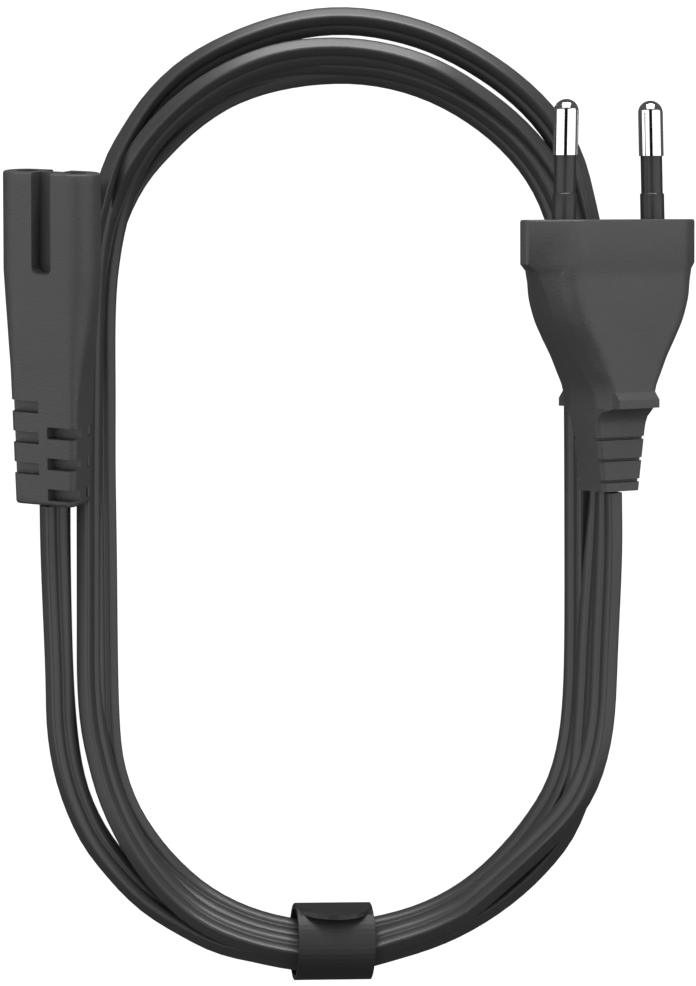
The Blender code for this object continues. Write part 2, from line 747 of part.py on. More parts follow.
def main():
    clear_scene()
    moulding = finish_material("black_moulding", BLACK_MOULDING, 0.55)
    insulation = finish_material("pin_insulation", BLACK_STRAP, 0.4)
    flex = finish_material("black_flex", BLACK_FLEX, 0.4)
    strap = finish_material("black_strap", BLACK_STRAP, 0.6)
    metal = finish_material("nickel", NICKEL, 0.12, 1.0)
    connector = build_connector(moulding, metal).parent
    plug = build_plug(moulding, metal, insulation).parent
    coil = build_coil(flex)
    profile = flex_profile()
    connector_route = lead_points(connector, CONNECTOR_LENGTH, CONNECTOR_LEAD)
    plug_route = lead_points(plug, PLUG_LENGTH, PLUG_LEAD)
    connector_lead = build_lead("flex_connector_lead", connector_route, profile, (-24.0, -45.0), flex)
    plug_lead = build_lead("flex_plug_lead", plug_route, profile, (35.0, 45.0), flex)
    band = build_strap(strap).parent
    centre([connector, plug, coil, connector_lead, plug_lead, band])


main()
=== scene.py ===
# The looks of a flat twin power cord: flex, mouldings, pins and strap, as the photo shows them.
# Places are in millimetres in the photo's own frame, and ORIGIN moves them to the row frame.
# The two mouldings are lofted through rings, because no primitive has their changing section.

import math

import bmesh
import bpy
from mathutils import Euler, Matrix, Vector

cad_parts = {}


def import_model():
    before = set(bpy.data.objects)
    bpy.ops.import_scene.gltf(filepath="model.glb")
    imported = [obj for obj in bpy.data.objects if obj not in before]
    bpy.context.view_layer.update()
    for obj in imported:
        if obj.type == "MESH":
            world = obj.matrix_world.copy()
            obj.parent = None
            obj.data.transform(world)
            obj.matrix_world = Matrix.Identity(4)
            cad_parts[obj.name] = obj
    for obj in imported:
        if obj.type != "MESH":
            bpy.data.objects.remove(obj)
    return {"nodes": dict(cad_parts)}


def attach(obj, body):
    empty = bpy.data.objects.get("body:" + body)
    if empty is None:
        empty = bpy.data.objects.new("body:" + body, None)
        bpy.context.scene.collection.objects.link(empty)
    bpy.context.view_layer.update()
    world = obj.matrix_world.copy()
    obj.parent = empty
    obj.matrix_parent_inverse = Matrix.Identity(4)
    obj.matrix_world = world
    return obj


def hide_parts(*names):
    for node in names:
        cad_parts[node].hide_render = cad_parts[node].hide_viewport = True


MM = 0.001
ORIGIN = Vector((-0.473, 7.8354, 0.0)) * MM

# Camera
IMAGE_HEIGHT = 986
FOCAL_PX = 3500.0
SENSOR = 36.0
CAMERA_DISTANCE = 574.0
CAMERA_TILT = math.radians(4.8)
CAMERA_NEAR = 0.01                # metres

# Stage, in metres and watts
WHITE = (1.0, 1.0, 1.0, 1.0)
PAPER_SIZE = 3.0
PAPER_DROP = 0.0001               # keeps the paper just under the lowest turn
PAPER_SHADE = 0.2
PAPER_ROUGHNESS = 0.9
PAPER_GLOW = 1.0
FLAG_PLACE = (0.0, 0.05, 0.66)
FLAG_SIZE = (0.34, 2.0, 1.0)
FLAG_SHADE = 0.01
AMBIENT = 0.10
# Name, centre, size and power of each light, all of them turned to the origin
PANELS = (
    ("panel_left", (-0.55, 0.0, 0.50), (0.8, 1.6), 6.5),
    ("panel_right", (0.55, 0.0, 0.50), (0.8, 1.6), 6.0),
    ("panel_sky", (0.0, 0.62, 0.42), (0.9, 0.45), 1.6),
    ("panel_back", (0.05, 0.75, 0.12), (0.7, 0.24), 7.0),
)

# Finishes
PLASTIC_SPECULAR = 0.4
PLASTIC_BLUE = 1.02               # the black is a little cold
DRIFT_SCALE = 90.0
DRIFT_DETAIL = 4.0
GRAIN_DETAIL = 3.0
GRAIN_STRENGTH = 0.5
METAL_COLOUR = (0.78, 0.78, 0.79, 1.0)
METAL_ROUGHNESS = 0.08

# Modelling
SHARP_ANGLE = math.radians(34.0)  # edges of the mouldings and pins that stay sharp
FLEX_SHARP_ANGLE = math.radians(50.0)
STRAP_SHARP_ANGLE = math.radians(14.0)
STRAP_MERGE = 0.00001             # metres
CORNER_SHARE = 0.48               # the most of an edge that a rounded corner takes up
CUTTER_REACH = 2.0                # how far a cutter runs past the surface it cuts
NEAR = 0.001                      # places nearer than this are the same
BARREL_SIDES = 40
MOULDING_STEP = 1.3               # spacing of a moulding's rings
RIM_SHARES = (0.0, 0.13, 0.5, 1.0)

# Flex
FLEX_STEP = 2.4                   # spacing of the flex's rings
FLEX_PARTS = 10                   # fine steps between two chosen points
FLEX_ROUNDS = 12                  # rounds of evening out the fine steps
OVAL_CENTRE = Vector((-1.2, -2.1))
OVAL_RADIUS = 36.4                # inner edge of the oval
OVAL_STRAIGHT = 32.3
OVAL_SHARPNESS = 4.5
TURN_STEP = 4.0                   # degrees between the points of a turn

# Two-hole connector, measured from its mating face down its length
CONNECTOR_PLACE = (-47.2, 52.4, 12.0)
CONNECTOR_TURN = (math.radians(5.4), math.radians(-22.0), math.radians(-0.63))
CONNECTOR_LENGTH = 53.6
CONNECTOR_BODY = 16.0
CONNECTOR_HALF_WIDTH = 8.2
CONNECTOR_HALF_THICK = 3.92
CONNECTOR_RIM = 0.35
CONNECTOR_TIP = 0.5
CONNECTOR_CORE = 3.6
CONNECTOR_RELIEF_START = 36.6
CONNECTOR_CORNER_STEPS = 12
# Share of the way down, then shares of the half width, the half thickness and the corner radius
CONNECTOR_TAPER = (
    (0.0, 1.0, 1.0, 0.98),
    (0.2, 0.96, 1.0, 0.94),
    (0.4, 0.90, 0.995, 0.82),
    (0.58, 0.84, 0.985, 0.66),
    (0.73, 0.785, 0.97, 0.51),
    (1.0, 0.725, 0.945, 0.33),
)
CONNECTOR_RELIEF = (
    (0.0, 0.725, 0.945, 0.33),
    (0.5, 0.69, 0.89, 0.29),
    (1.0, 0.652, 0.84, 0.255),
)
SOCKET_PITCH = 8.6
SOCKET_RADIUS = 1.73
SOCKET_DEPTH = 15.0
KEY_WIDTH = 3.4
KEY_DEPTH = 3.2
KEY_LENGTH = 16.1
KEY_CORNER = 1.0
KEY_STEPS = 8
CONNECTOR_NOTCHES = 3
CONNECTOR_NOTCH = 1.95
CONNECTOR_NOTCH_PITCH = 5.05
CONNECTOR_STAGGER = 4.09          # the right column of notches starts this much further down
CONNECTOR_SPINE = 0.75
CONNECTOR_SHALLOW = 1.6
CONNECTOR_DEEP = 2.4

# Two-pin plug, measured from its engagement face down its length
PLUG_PLACE = (41.6, 44.8, 11.8)
PLUG_TURN = (math.radians(-0.6), math.radians(35.1), 0.0)
PLUG_HALF_WIDTH = 17.3
PLUG_HALF_THICK = 6.85
PLUG_HEAD = 7.0
PLUG_NECK = 30.0
PLUG_LENGTH = 43.3
PLUG_RIM = 0.4
PLUG_CORNER_STEPS = 6
PLUG_BODY_RINGS = 24
PLUG_RELIEF_RINGS = 12
# Shares of the half width for the wide face and the ridge, then shares of the half thickness
# for the thickness, the ridge's flat and two corner radii
PLUG_FACE = (0.64, 1.0, 1.0, 0.124, 0.5, 0.13)
# Share of the way from head to neck, then as above
PLUG_BODY = (
    (0.05, 0.71, 0.885, 0.949, 0.131, 0.61, 0.13),
    (0.20, 0.71, 0.79, 0.964, 0.146, 0.64, 0.13),
    (0.37, 0.655, 0.70, 0.964, 0.16, 0.60, 0.146),
    (0.50, 0.56, 0.612, 0.964, 0.204, 0.52, 0.175),
    (0.63, 0.45, 0.507, 0.964, 0.263, 0.44, 0.204),
    (0.76, 0.345, 0.412, 0.964, 0.336, 0.32, 0.234),
    (0.85, 0.277, 0.345, 0.964, 0.423, 0.25, 0.234),
    (0.935, 0.243, 0.312, 0.964, 0.496, 0.175, 0.234),
    (1.0, 0.235, 0.303, 0.964, 0.496, 0.16, 0.20),
)
# Share of the way down the relief, then shares of its half width and half thickness
PLUG_RELIEF = (
    (0.03, 1.04, 1.45),
    (0.08, 1.04, 1.2),
    (0.15, 1.03, 1.06),
    (0.23, 1.0, 1.0),
    (1.0, 0.72, 1.0),
)
PLUG_FLUSH = 6.6                  # half thickness of the body beside the ledge
RELIEF_CORNER = 0.5
RELIEF_HALF_WIDTH = 5.05
RELIEF_HALF_THICK = 3.5
LEDGE_RAISE = 1.1
LEDGE_SINK = 0.3                  # the ledge's bevel ends this far under the wide face
LEDGE_HALF_WIDTH = 4.1
LEDGE_BAND = 1.3
LEDGE_BEVEL = 1.6
LEDGE_SILL = 0.1
PLUG_SLOTS = 3
PLUG_SLOT = 0.5
PLUG_SLOT_DEPTH = 1.0
PLUG_SLOT_FIRST = 34.6
PLUG_SLOT_PITCH = 3.4
PIN_PITCH = 18.2
PIN_LEAN = math.radians(1.5)
PIN_STEPS = 12                    # rings of the pin's dome
PIN_RADIUS = 2.0
PIN_LENGTH = 19.0
PIN_ROOT = 8.0
PIN_SHANK_RADIUS = 1.1
# Radius and place along the pin of the sleeve's rings, and of those of the pin's seat in the plug
SLEEVE = ((1.95, -1.8), (1.95, 4.0), (1.9, 4.1), (1.75, 4.2), (1.75, 10.15))
SLEEVE_BORE = 1.4
PIN_SOCKET = ((1.4, -8.3), (1.4, -2.1), (2.25, -2.1), (2.25, 1.5))

# A quarter of the flex's outline: across its width, then through its thickness
FLEX_OUTLINE = (
    (0.0, 0.93),
    (0.14, 0.97),
    (0.30, 1.08),
    (0.50, 1.20),
    (0.80, 1.27),
    (1.15, 1.29),
    (1.50, 1.27),
    (1.80, 1.24),
    (1.99, 1.16),
    (2.09, 1.0),
    (2.12, 0.78),
    (2.12, 0.3),
)

# Route of the connector's end and of the plug's end: x, y, z and tilt in degrees
CONNECTOR_LEAD = (
    (-47.7, -1.30, 6.90, 40),
    (-47.7, -7.2, 6.3, 40),
    (-47.6, -13.0, 5.8, 40),
    (-47.45, -18.7, 5.4, 40),
    (-47.25, -25.0, 5.15, 40),
    (-47.1, -31.3, 4.95, 40),
    (-47.0, -37.7, 4.85, 40),
    (-46.1, -44.3, 4.80, 41),
    (-44.2, -50.7, 4.80, 42),
    (-41.3, -56.8, 4.85, 42),
)
PLUG_LEAD = (
    (27.3, -60.1, 8.2, 53),
    (31.6, -55.8, 8.8, 51),
    (35.6, -51.4, 9.5, 50),
    (38.5, -46.4, 9.8, 50),
    (40.3, -40.4, 9.8, 50),
    (41.1, -34.6, 9.7, 50),
    (41.35, -28.7, 9.8, 50),
    (41.5, -23.5, 10.1, 50),
    (41.65, -18.7, 10.5, 50),
    (41.8, -14.3, 10.9, 50),
    (41.9, -10.2, 11.3, 51),
    (41.95, -6.2, 11.7, 53),
    (41.9, -2.4, 12.0, 55),
    (41.85, 1.2, 12.15, 57),
)
# The turns, from the connector's end to the plug's: turned angle in degrees, measured the
# way the flex runs from the plug, then outset from the oval's edge, height and tilt
TURNS = (
    (1222, 9.1, 4.9, 42),
    (1214, 8.6, 5.1, 45),
    (1206, 7.7, 5.6, 50),
    (1197, 7.0, 6.3, 55),
    (1188, 5.8, 7.0, 57),
    (1170, 5.0, 7.6, 57),
    (1155, 4.0, 7.0, 57),
    (1140, 4.2, 6.3, 55),
    (1125, 4.75, 5.7, 54),
    (1118, 5.1, 5.7, 52),
    (1110, 5.5, 6.2, 50),
    (1102, 5.5, 6.6, 50),
    (1095, 5.0, 5.9, 50),
    (1088, 4.7, 5.35, 50),
    (1084, 4.9, 5.2, 50),
    (1081, 5.6, 4.6, 50),
    (1079, 6.0, 3.6, 50),
    (1077, 5.6, 2.7, 50),
    (1074, 5.0, 2.25, 50),
    (1065, 4.9, 2.25, 50),
    (1040, 4.3, 2.5, 52),
    (1025, 4.15, 3.2, 52),
    (1010, 4.65, 4.4, 50),
    (990, 5.1, 5.2, 48),
    (975, 5.4, 5.4, 50),
    (960, 5.2, 5.6, 52),
    (948, 4.9, 5.6, 54),
    (938, 4.6, 5.1, 53),
    (930, 4.1, 3.9, 46),
    (921, 3.7, 2.7, 34),
    (912, 3.4, 2.1, 26),
    (907, 2.8, 2.0, 24),
    (904, 2.75, 1.95, 24),
    (898, 2.55, 1.95, 24),
    (893, 2.75, 1.95, 24),
    (888, 3.2, 1.95, 24),
    (881, 3.75, 1.95, 25),
    (872, 3.6, 2.0, 26),
    (866, 3.4, 2.1, 28),
    (857, 3.25, 2.4, 34),
    (847, 3.1, 3.2, 46),
    (838, 2.7, 4.2, 54),
    (829, 2.25, 4.8, 56),
    (820, 1.8, 5.3, 57),
    (810, 1.45, 5.5, 57),
    (795, 1.1, 5.3, 57),
    (780, 1.15, 4.9, 55),
    (765, 1.1, 4.4, 53),
    (754, 1.5, 4.0, 51),
    (745, 2.4, 3.4, 50),
    (739, 2.95, 2.8, 50),
    (733, 3.1, 2.5, 50),
    (728, 2.8, 2.35, 50),
    (722, 2.4, 2.35, 50),
    (717, 2.3, 2.4, 50),
    (711, 2.5, 2.5, 50),
    (706, 2.75, 2.6, 50),
    (700, 2.4, 2.6, 51),
    (688, 2.5, 2.6, 52),
    (660, 2.2, 2.5, 52),
    (632, 2.2, 2.4, 50),
    (621, 2.4, 2.05, 30),
    (609, 2.7, 1.5, 10),
    (597, 2.9, 1.32, 0),
    (585, 2.9, 1.32, 0),
    (574, 3.4, 1.32, 0),
    (566, 3.7, 1.32, 0),
    (559, 4.1, 1.32, 0),
    (554, 5.8, 1.32, 0),
    (549, 7.9, 1.28, 0),
    (545, 9.3, 1.28, 0),
    (541, 9.95, 1.28, 0),
    (535, 10.1, 1.28, 0),
    (528, 10.4, 1.28, 0),
    (521, 10.6, 1.28, 0),
    (511, 10.1, 1.28, 0),
    (494, 8.4, 1.28, 0),
    (486, 7.2, 1.6, 12),
    (477, 6.0, 2.0, 30),
    (465, 4.4, 3.2, 50),
    (450, 3.5, 4.2, 57),
    (435, 3.85, 3.6, 57),
    (420, 4.2, 2.7, 55),
    (405, 4.7, 2.35, 53),
    (390, 5.0, 2.3, 50),
    (382, 5.4, 2.3, 50),
    (375, 6.0, 2.3, 50),
    (368, 6.2, 2.3, 50),
    (362, 6.3, 2.3, 50),
    (356, 6.4, 2.3, 50),
    (348, 6.4, 2.3, 50),
    (341, 6.5, 2.3, 48),
    (334, 7.0, 2.3, 46),
    (326, 8.3, 2.3, 45),
    (316, 9.0, 2.3, 45),
    (300, 9.3, 2.3, 45),
    (285, 9.8, 2.3, 45),
    (270, 10.1, 2.3, 46),
    (250, 9.5, 2.3, 45),
    (238, 9.2, 2.4, 43),
    (228, 8.4, 3.0, 47),
    (221, 7.5, 3.8, 50),
    (214, 6.9, 4.5, 54),
    (206, 5.8, 5.2, 57),
    (199, 5.3, 5.2, 57),
    (192, 4.8, 4.9, 57),
    (187, 4.45, 4.4, 57),
    (180, 4.5, 3.8, 57),
    (173, 4.9, 3.8, 57),
    (168, 5.4, 3.9, 57),
    (161, 4.9, 4.4, 57),
    (150, 4.6, 5.2, 58),
    (135, 5.0, 5.9, 58),
    (125, 5.2, 6.9, 58),
    (115, 4.6, 8.3, 58),
    (105, 4.0, 8.8, 57),
    (90, 3.5, 9.0, 57),
    (75, 2.3, 8.8, 57),
    (55, 2.3, 8.4, 55),
)


def scene_point(x, y, z):
    """Place in the row frame, in metres, of a place in millimetres in the photo's frame."""
    return Vector((x, y, z)) * MM + ORIGIN


def oval_point(turned, outset):
    """Point outset from the oval's inner edge; turned runs clockwise from the plug's side."""
    angle = -math.radians(turned)
    radius = OVAL_RADIUS + outset
    climb = OVAL_STRAIGHT * math.tanh(OVAL_SHARPNESS * math.sin(angle))
    return (
        OVAL_CENTRE.x + radius * math.cos(angle),
        OVAL_CENTRE.y + radius * math.sin(angle) + climb,
    )


def curve(table, at):
    """Values of a table at a place between its rows, on a curve that never passes a row's."""
    step = 1 if table[-1][0] > table[0][0] else -1
    rows = table[::step]
    index = 0
    while index < len(rows) - 2 and rows[index + 1][0] < at:
        index += 1
    low, high = rows[index], rows[index + 1]
    before = rows[max(index - 1, 0)]
    after = rows[min(index + 2, len(rows) - 1)]
    width = high[0] - low[0]
    share = min(max((at - low[0]) / width, 0.0), 1.0)
    values = []
    for a, b, c, d in zip(before[1:], low[1:], high[1:], after[1:]):
        slope = (c - b) / width
        slope_low = (b - a) / (low[0] - before[0]) if before is not low else slope
        slope_high = (d - c) / (after[0] - high[0]) if after is not high else slope
        start = 0.0 if slope_low * slope <= 0.0 else 2.0 * slope_low * slope / (slope_low + slope)
        end = 0.0 if slope_high * slope <= 0.0 else 2.0 * slope_high * slope / (slope_high + slope)
        values.append(
            b * (1.0 + 2.0 * share) * (1.0 - share) ** 2
            + c * share * share * (3.0 - 2.0 * share)
            + start * width * share * (1.0 - share) ** 2
            - end * width * share * share * (1.0 - share)
        )
    return values


def flex_route():
    """Every chosen point of the flex as (x, y, z, tilt), from the connector to the plug."""
    route = list(CONNECTOR_LEAD)
    turned = float(TURNS[0][0])
    while turned > TURNS[-1][0]:
        outset, height, tilt = curve(TURNS, turned)
        route.append((*oval_point(turned, outset), height, tilt))
        turned -= TURN_STEP
    return route + list(PLUG_LEAD)


def smooth(points, step):
    """Evenly spaced points of a Catmull-Rom curve through four-value points."""
    chosen = [Vector(point) for point in points]
    chosen = [chosen[0] * 2.0 - chosen[1]] + chosen + [chosen[-1] * 2.0 - chosen[-2]]
    fine = []
    for a, b, c, d in zip(chosen, chosen[1:], chosen[2:], chosen[3:]):
        for part in range(FLEX_PARTS):
            t = part / FLEX_PARTS
            fine.append(0.5 * (2.0 * b + (c - a) * t + (2.0 * a - 5.0 * b + 4.0 * c - d) * t * t
                               + (3.0 * b - a - 3.0 * c + d) * t ** 3))
    fine.append(chosen[-2])
    fine = relax(fine, FLEX_ROUNDS)
    lengths = [0.0]
    for one, two in zip(fine, fine[1:]):
        lengths.append(lengths[-1] + (two.to_3d() - one.to_3d()).length)
    count = round(lengths[-1] / step)
    even = []
    index = 0
    for number in range(count + 1):
        target = lengths[-1] * number / count
        while index < len(fine) - 2 and lengths[index + 1] < target:
            index += 1
        share = (target - lengths[index]) / (lengths[index + 1] - lengths[index])
        even.append(fine[index].lerp(fine[index + 1], share))
    return even


def relax(points, rounds):
    """Moves each point but the two ends towards its neighbours, round by round."""
    for _ in range(rounds):
        moved = [points[0]]
        for before, here, after in zip(points, points[1:], points[2:]):
            moved.append(here * 0.5 + (before + after) * 0.25)
        moved.append(points[-1])
        points = moved
    return points


def flex_section():
    """Closed outline of the flat twin flex."""
    quarter = list(FLEX_OUTLINE)
    right = quarter + [(x, -y) for x, y in reversed(quarter)]
    left = [(-x, -y) for x, y in right[1:-1]]
    return right + left


def loft(name, rings):
    """Capped solid through rings of equal point counts, in metres."""
    model = bmesh.new()
    rows = [[model.verts.new(point) for point in ring] for ring in rings]
    for one, two in zip(rows, rows[1:]):
        for index in range(len(one)):
            after = (index + 1) % len(one)
            model.faces.new((one[index], one[after], two[after], two[index]))
    model.faces.new(list(reversed(rows[0])))
    model.faces.new(rows[-1])
    bmesh.ops.recalc_face_normals(model, faces=model.faces[:])
    mesh = bpy.data.meshes.new(name)
    model.to_mesh(mesh)
    model.free()
    piece = bpy.data.objects.new(name, mesh)
    bpy.context.scene.collection.objects.link(piece)
    return piece


def sweep(name, points, outline):
    """Closed tube of an outline along (x, y, z, tilt) points, its width rising outwards."""
    rings = []
    for index, point in enumerate(points):
        here = point.to_3d()
        before = points[max(index - 1, 0)].to_3d()
        after = points[min(index + 1, len(points) - 1)].to_3d()
        along = (before - after).normalized()
        outward = Vector((0.0, 0.0, 1.0)).cross(along).normalized()
        upward = along.cross(outward)
        tilt = math.radians(point[3])
        wide = outward * math.cos(tilt) + upward * math.sin(tilt)
        thick = upward * math.cos(tilt) - outward * math.sin(tilt)
        rings.append([scene_point(*(here + wide * x + thick * y)) for x, y in outline])
    piece = loft(name, rings)
    piece.data.shade_smooth()
    piece.data.set_sharp_from_angle(angle=FLEX_SHARP_ANGLE)
    return piece


def rounded_outline(corners, radii, steps):
    """Closed outline in a plane, each corner an arc of steps + 1 points."""
    points = []
    for index, corner in enumerate(corners):
        here = Vector(corner)
        back = Vector(corners[index - 1]) - here
        ahead = Vector(corners[(index + 1) % len(corners)]) - here
        half_turn = back.angle(ahead) / 2.0
        longest = CORNER_SHARE * min(back.length, ahead.length)
        reach = min(radii[index] / math.tan(half_turn), longest)
        radius = reach * math.tan(half_turn)
        bisector = (back.normalized() + ahead.normalized()).normalized()
        middle = here + bisector * (radius / math.sin(half_turn))
        start = here + back.normalized() * reach - middle
        end = here + ahead.normalized() * reach - middle
        swing = start.angle(end)
        for step in range(steps + 1):
            share = step / steps
            arm = start * math.sin((1.0 - share) * swing) + end * math.sin(share * swing)
            points.append(middle + arm / math.sin(swing))
    return points


def pick(piece):
    """Leaves one piece selected and active."""
    bpy.ops.object.select_all(action="DESELECT")
    bpy.context.view_layer.objects.active = piece
    piece.select_set(True)


def select_edges(piece, wanted):
    """Opens a piece in edit mode with only the edges selected whose two ends are wanted."""
    bpy.ops.object.mode_set(mode="EDIT")
    bpy.ops.mesh.select_mode(type="EDGE")
    bpy.ops.mesh.select_all(action="DESELECT")
    bpy.ops.object.mode_set(mode="OBJECT")
    corners = piece.data.vertices
    for edge in piece.data.edges:
        one, two = (corners[index].co / MM for index in edge.vertices)
        edge.select = wanted(one, two)
    bpy.ops.object.mode_set(mode="EDIT")


def block(low, high):
    """Square-edged solid between two corners, in millimetres."""
    size = (Vector(high) - Vector(low)) * MM
    middle = (Vector(high) + Vector(low)) / 2.0 * MM
    bpy.ops.object.select_all(action="DESELECT")
    bpy.ops.mesh.primitive_cube_add(size=1.0, location=middle, scale=size)
    bpy.ops.object.transform_apply(location=True, rotation=True, scale=True)
    return bpy.context.active_object


def barrel(rings, x, lean):
    """Round solid through (radius, y) rings about an axis along Y at x, leaning about Z."""
    foot = Vector((x, 0.0, 0.0)) * MM
    axis = Vector((-math.sin(lean), math.cos(lean), 0.0)) * MM
    radius, y = rings[0]
    bpy.ops.object.select_all(action="DESELECT")
    bpy.ops.mesh.primitive_circle_add(
        vertices=BARREL_SIDES,
        radius=radius * MM,
        fill_type="NGON",
        location=foot + axis * y,
        rotation=(math.pi / 2.0, 0.0, 0.0),
    )
    bpy.ops.object.transform_apply(location=True, rotation=True, scale=True)
    bpy.ops.object.mode_set(mode="EDIT")
    bpy.ops.mesh.select_all(action="SELECT")
    for (radius_before, y_before), (radius, y) in zip(rings, rings[1:]):
        bpy.ops.mesh.extrude_region_move(
            TRANSFORM_OT_translate={"value": axis * (y - y_before)}
        )
        bpy.ops.transform.resize(
            value=(radius / radius_before,) * 3, center_override=foot + axis * y
        )
    bpy.ops.mesh.select_all(action="SELECT")
    bpy.ops.mesh.normals_make_consistent(inside=False)
    bpy.ops.object.mode_set(mode="OBJECT")
    return bpy.context.active_object


def combine(body, tool, operation):
    """Joins or cuts a body with a tool, and removes the tool."""
    change = body.modifiers.new("change", "BOOLEAN")
    change.operation = operation
    change.object = tool
    change.solver = "EXACT"
    pick(body)
    bpy.ops.object.modifier_apply(modifier=change.name)
    bpy.data.objects.remove(tool)


def connector_ring(depth):
    """Rounded rectangle of the connector at a depth below its mating face."""
    if depth <= CONNECTOR_RELIEF_START:
        taper = max(0.0, depth - CONNECTOR_BODY) / (CONNECTOR_RELIEF_START - CONNECTOR_BODY)
        width, thick, corner = curve(CONNECTOR_TAPER, taper)
    else:
        relief = (depth - CONNECTOR_RELIEF_START) / (CONNECTOR_LENGTH - CONNECTOR_RELIEF_START)
        width, thick, corner = curve(CONNECTOR_RELIEF, relief)
    trim = rim_trim(depth, CONNECTOR_RIM) + rim_trim(CONNECTOR_LENGTH - depth, CONNECTOR_TIP)
    half_width = CONNECTOR_HALF_WIDTH * width - trim
    half_thick = CONNECTOR_HALF_THICK * thick - trim
    corners = (
        (half_width, half_thick),
        (-half_width, half_thick),
        (-half_width, -half_thick),
        (half_width, -half_thick),
    )
    radius = CONNECTOR_HALF_THICK * corner - trim
    outline = rounded_outline(corners, [radius] * 4, CONNECTOR_CORNER_STEPS)
    return [Vector((point.x, -depth, point.y)) * MM for point in outline]


def rim_trim(depth, radius):
    """How far a rounded rim stands back at a depth from its end."""
    if depth >= radius:
        return 0.0
    return radius - math.sqrt(max(0.0, radius * radius - (radius - depth) ** 2))


def stations(length, rim, tip, step):
    """Depths of a moulding's rings: close on its rounded ends, then evenly spaced."""
    depths = [rim * share for share in RIM_SHARES]
    count = round((length - rim - tip) / step)
    depths += [rim + (length - rim - tip) * number / count for number in range(1, count)]
    depths += [length - tip * share for share in reversed(RIM_SHARES)]
    return depths


def build_connector():
    """Connector with its two sockets, its keying grooves and its staggered notches."""
    depths = stations(CONNECTOR_LENGTH, CONNECTOR_RIM, CONNECTOR_TIP, MOULDING_STEP)
    body = loft("connector_moulding", [connector_ring(depth) for depth in depths])
    for side in (-1, 1):
        ends = ((SOCKET_RADIUS, -SOCKET_DEPTH), (SOCKET_RADIUS, CUTTER_REACH))
        combine(body, barrel(ends, side * SOCKET_PITCH / 2.0, 0.0), "DIFFERENCE")
    for face in (-1, 1):
        combine(body, key_groove(face), "DIFFERENCE")
        for number in range(CONNECTOR_NOTCHES):
            for side, deep, first in (
                (-1, CONNECTOR_SHALLOW, 0.0),
                (1, CONNECTOR_DEEP, CONNECTOR_STAGGER),
            ):
                top = -(CONNECTOR_RELIEF_START + first + number * CONNECTOR_NOTCH_PITCH)
                xs = sorted((side * CONNECTOR_SPINE, side * CONNECTOR_HALF_WIDTH))
                zs = sorted((
                    face * (CONNECTOR_CORE - deep),
                    face * (CONNECTOR_HALF_THICK + CUTTER_REACH),
                ))
                notch = block((xs[0], top - CONNECTOR_NOTCH, zs[0]), (xs[1], top, zs[1]))
                combine(body, notch, "DIFFERENCE")
    return body


def key_groove(face):
    """Keying groove of one wide face, round-cornered at its closed end."""
    half = KEY_WIDTH / 2.0
    zs = sorted((
        face * (CONNECTOR_HALF_THICK - KEY_DEPTH),
        face * (CONNECTOR_HALF_THICK + CUTTER_REACH),
    ))
    groove = block((-half, -KEY_LENGTH, zs[0]), (half, CUTTER_REACH, zs[1]))

    def closed_corner(one, two):
        return max(one.y, two.y) < NEAR - KEY_LENGTH and abs(one.x - two.x) < NEAR

    select_edges(groove, closed_corner)
    bpy.ops.mesh.bevel(offset=KEY_CORNER * MM, segments=KEY_STEPS, affect="EDGES")
    bpy.ops.object.mode_set(mode="OBJECT")
    return groove


def plug_outline(depth, face_half, ridge_half, thick, flat, corner, ridge_corner):
    """Outline of two wide faces and a ridge with a flat on each side, at a depth."""
    corners = (
        (face_half, thick),
        (-face_half, thick),
        (-ridge_half, flat),
        (-ridge_half, -flat),
        (-face_half, -thick),
        (face_half, -thick),
        (ridge_half, -flat),
        (ridge_half, flat),
    )
    radii = [corner, corner, ridge_corner, ridge_corner] * 2
    outline = rounded_outline(corners, radii, PLUG_CORNER_STEPS)
    return [Vector((point.x, -depth, point.y)) * MM for point in outline]


def plug_ring(depth, face, ridge, thick, flat, corner, ridge_corner):
    """Outline of the plug's head or body, from shares of its half width and half thickness."""
    trim = rim_trim(depth, PLUG_RIM)
    return plug_outline(
        depth,
        PLUG_HALF_WIDTH * face - trim,
        PLUG_HALF_WIDTH * ridge - trim,
        PLUG_HALF_THICK * thick - trim,
        PLUG_HALF_THICK * flat,
        PLUG_HALF_THICK * corner,
        PLUG_HALF_THICK * ridge_corner,
    )


def relief_ring(depth, width_share, thick_share):
    """Outline of the plug's strain relief, a square-edged bar with small corners."""
    half_width = RELIEF_HALF_WIDTH * width_share
    half_thick = RELIEF_HALF_THICK * thick_share
    return plug_outline(
        depth,
        half_width - RELIEF_CORNER,
        half_width,
        half_thick,
        half_thick - RELIEF_CORNER,
        RELIEF_CORNER,
        RELIEF_CORNER,
    )


